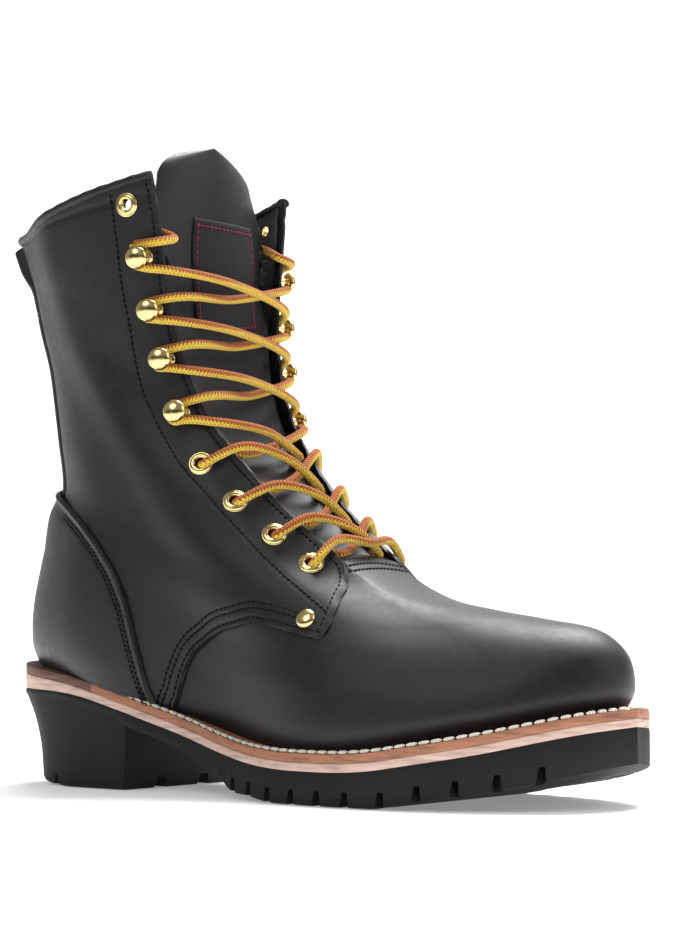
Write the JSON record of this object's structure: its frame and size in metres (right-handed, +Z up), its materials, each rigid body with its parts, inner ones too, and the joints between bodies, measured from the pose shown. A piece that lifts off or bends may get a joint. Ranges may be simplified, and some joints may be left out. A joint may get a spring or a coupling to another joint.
{
  "type": "work boot",
  "caption": "Lace-up logger work boot with a tall raised heel, lugged rubber sole, stitched welt and hooks and eyelets up the shaft.",
  "frame": {"origin": "on the floor under the middle of the heel's tread, 60 mm in front of the back of the heel", "axes": "+X towards the toe, +Z up, -Y towards the outer (little toe) side of this right boot"},
  "size_m": [0.3257, 0.1125, 0.283],
  "materials": {
    "rubber": "matte black lugged rubber",
    "pale_leather": "raw pale leather edge",
    "tan_leather": "tan leather welt",
    "insole_leather": "smooth insole leather",
    "black_leather": "oiled black leather, satin",
    "label_cloth": "plain woven label",
    "brass": "polished brass",
    "lace_cord": "round braided lace, brown and yellow"
  },
  "bodies": {
    "root": {"outsole": "rubber", "midsole": "pale_leather", "welt": "tan_leather", "insole": "insole_leather", "upper": "black_leather", "tongue": "black_leather", "tongue_label": "label_cloth", "counter": "black_leather", "backstay": "black_leather", "collar_binding": "black_leather", "lace_bar": "lace_cord", "lace_cross_1": "lace_cord", "lace_cross_2": "lace_cord", "lace_cross_3": "lace_cord", "lace_cross_4": "lace_cord", "lace_cross_5": "lace_cord", "lace_cross_6": "lace_cord", "lace_cross_7": "lace_cord", "lace_end_lateral": "lace_cord", "lace_end_medial": "lace_cord", "eyelet_lateral_1": "brass", "hook_lateral_2": "brass", "hook_lateral_3": "brass", "hook_lateral_4": "brass", "hook_lateral_5": "brass", "eyelet_lateral_6": "brass", "eyelet_lateral_7": "brass", "eyelet_lateral_8": "brass", "eyelet_lateral_9": "brass", "rivet_lateral": "brass", "eyelet_medial_1": "brass", "hook_medial_2": "brass", "hook_medial_3": "brass", "hook_medial_4": "brass", "hook_medial_5": "brass", "eyelet_medial_6": "brass", "eyelet_medial_7": "brass", "eyelet_medial_8": "brass", "eyelet_medial_9": "brass", "rivet_medial": "brass"}
  },
  "joints": []
}
